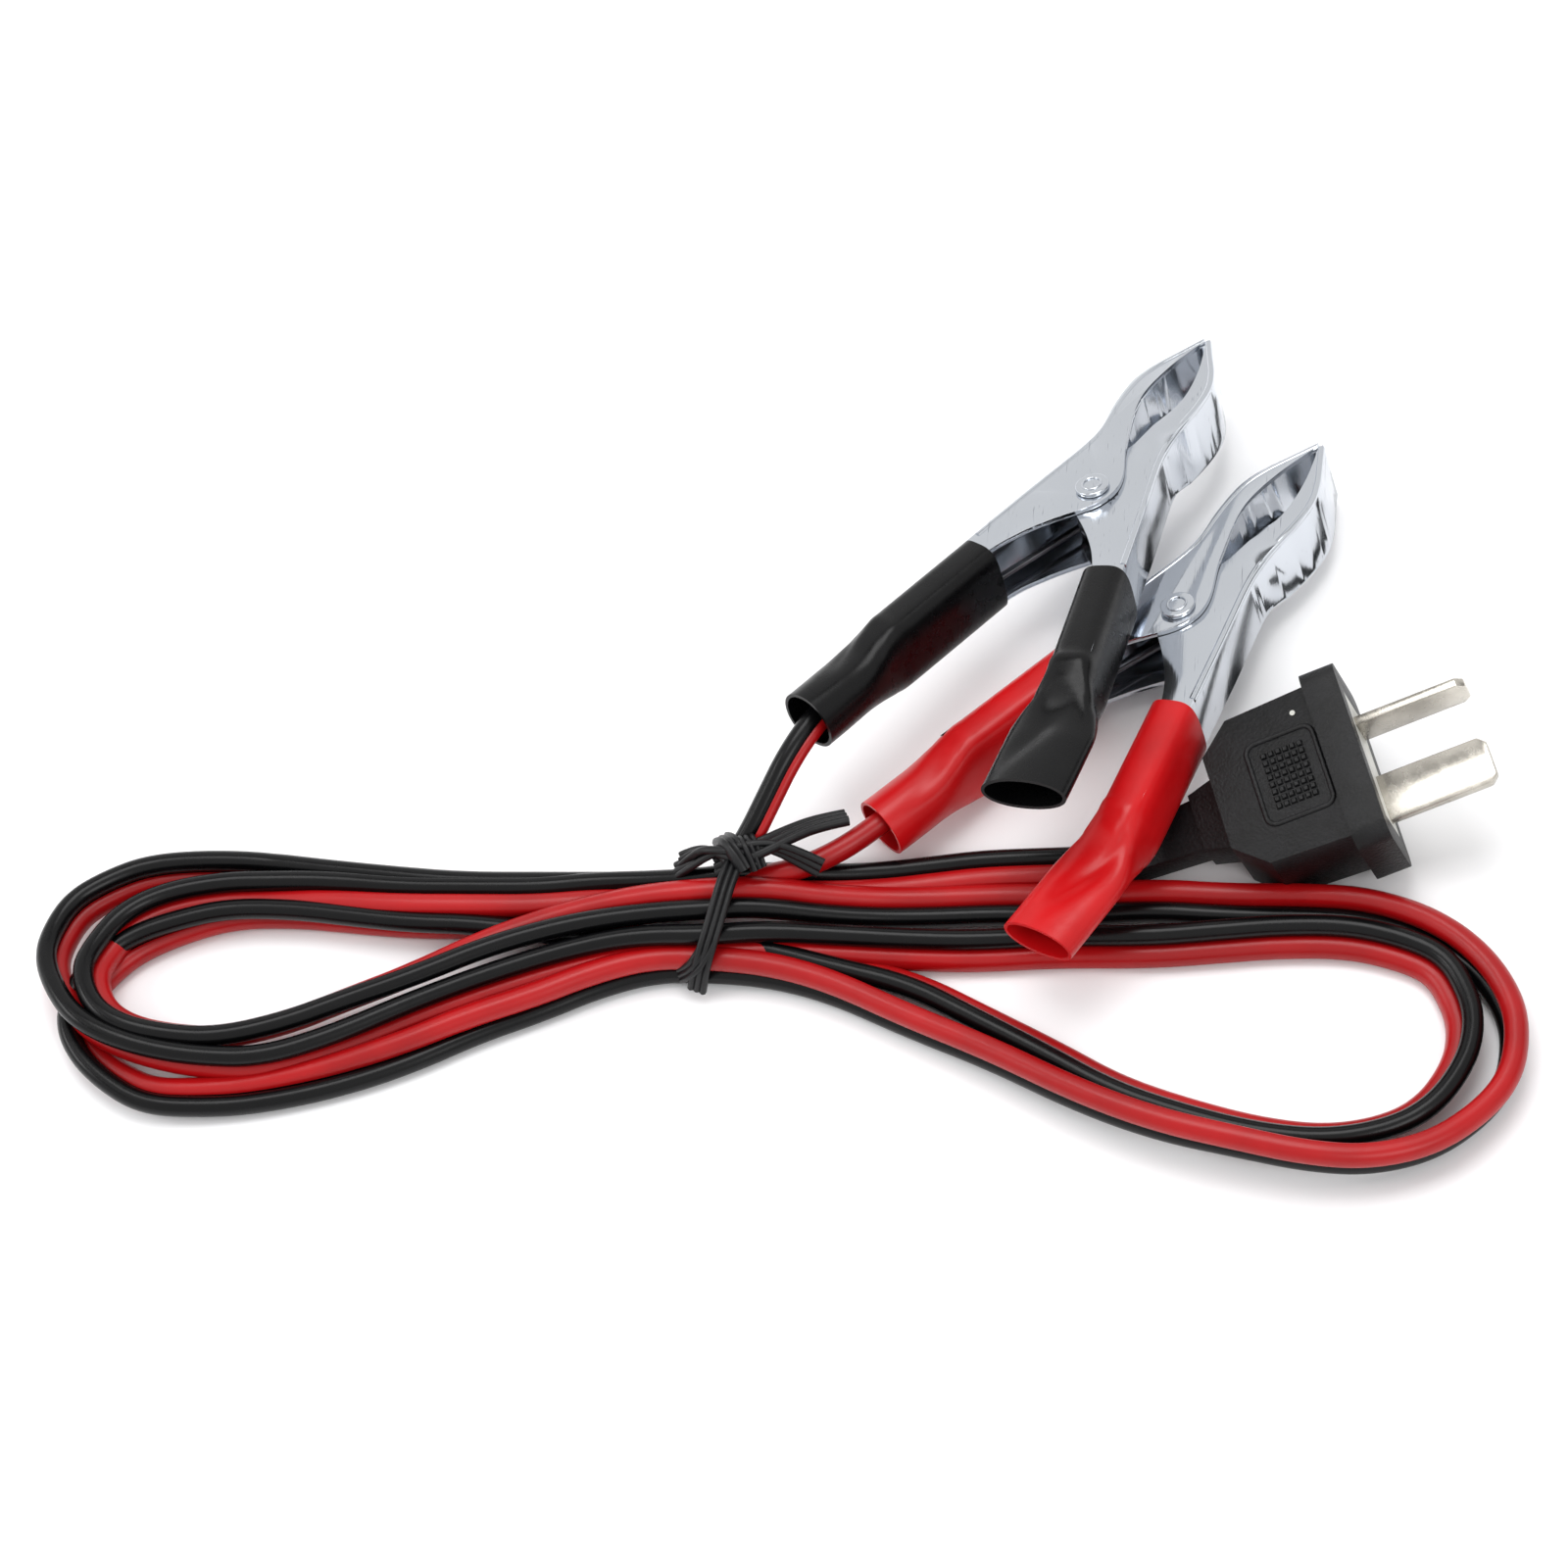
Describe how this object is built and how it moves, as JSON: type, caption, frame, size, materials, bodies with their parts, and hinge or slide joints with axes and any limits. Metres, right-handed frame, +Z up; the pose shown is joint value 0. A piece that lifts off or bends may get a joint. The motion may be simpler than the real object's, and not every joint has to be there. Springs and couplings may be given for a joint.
{
  "type": "battery charging lead",
  "caption": "Twin red and black cord in a tied hank, with a moulded two-blade plug at one end and two sprung battery clips with vinyl grips at the other.",
  "frame": {"origin": "on the table, under the middle of the two clips", "axes": "+Z up from the table, +X along the tied hank towards its larger loop, +Y away from the hank, towards the clips' noses"},
  "size_m": [0.2329, 0.1522, 0.0378],
  "materials": {
    "plated_steel": "bright plated",
    "spring_steel": "drawn",
    "copper": "bare stranded",
    "black_vinyl": "semi gloss",
    "red_vinyl": "semi gloss",
    "plug_rubber": "matte",
    "holder_plastic": "matte",
    "nickel_blade": "nickel plated",
    "cord_pvc": "semi gloss, one red and one black strand",
    "black_pvc": "semi gloss",
    "red_pvc": "semi gloss",
    "tie_pvc": "ribbed"
  },
  "bodies": {
    "root": {"black_outer_jaw": "plated_steel", "black_rivet": "plated_steel", "black_spring": "spring_steel", "black_conductor": "copper", "black_left_sleeve": "black_vinyl", "red_outer_jaw": "plated_steel", "red_rivet": "plated_steel", "red_spring": "spring_steel", "red_conductor": "copper", "red_left_sleeve": "red_vinyl", "plug_body": "plug_rubber", "blade_holder": "holder_plastic", "narrow_blade": "nickel_blade", "wide_blade": "nickel_blade", "cord_plug_run": "cord_pvc", "cord_hank": "cord_pvc", "black_lead": "black_pvc", "red_lead": "red_pvc", "twist_tie": "tie_pvc"},
    "black_moving": {"black_inner_jaw": "plated_steel", "black_right_sleeve": "black_vinyl", "black_spring_leg": "spring_steel"},
    "red_moving": {"red_inner_jaw": "plated_steel", "red_right_sleeve": "red_vinyl", "red_spring_leg": "spring_steel"}
  },
  "joints": [
    {"name": "black_clip_hinge", "type": "hinge", "parent": "root", "child": "black_moving", "pos_m": [0.0045, 0.0232, 0.0156], "axis": [0.1354, -0.2468, -0.9596], "range_deg": [0, 22], "stiffness_Nm_per_rad": 0.03, "springref_deg": -28.65},
    {"name": "red_clip_hinge", "type": "hinge", "parent": "root", "child": "red_moving", "pos_m": [0.0187, 0.0046, 0.0092], "axis": [0.1789, -0.1701, -0.9691], "range_deg": [0, 22], "stiffness_Nm_per_rad": 0.03, "springref_deg": -28.65}
  ]
}
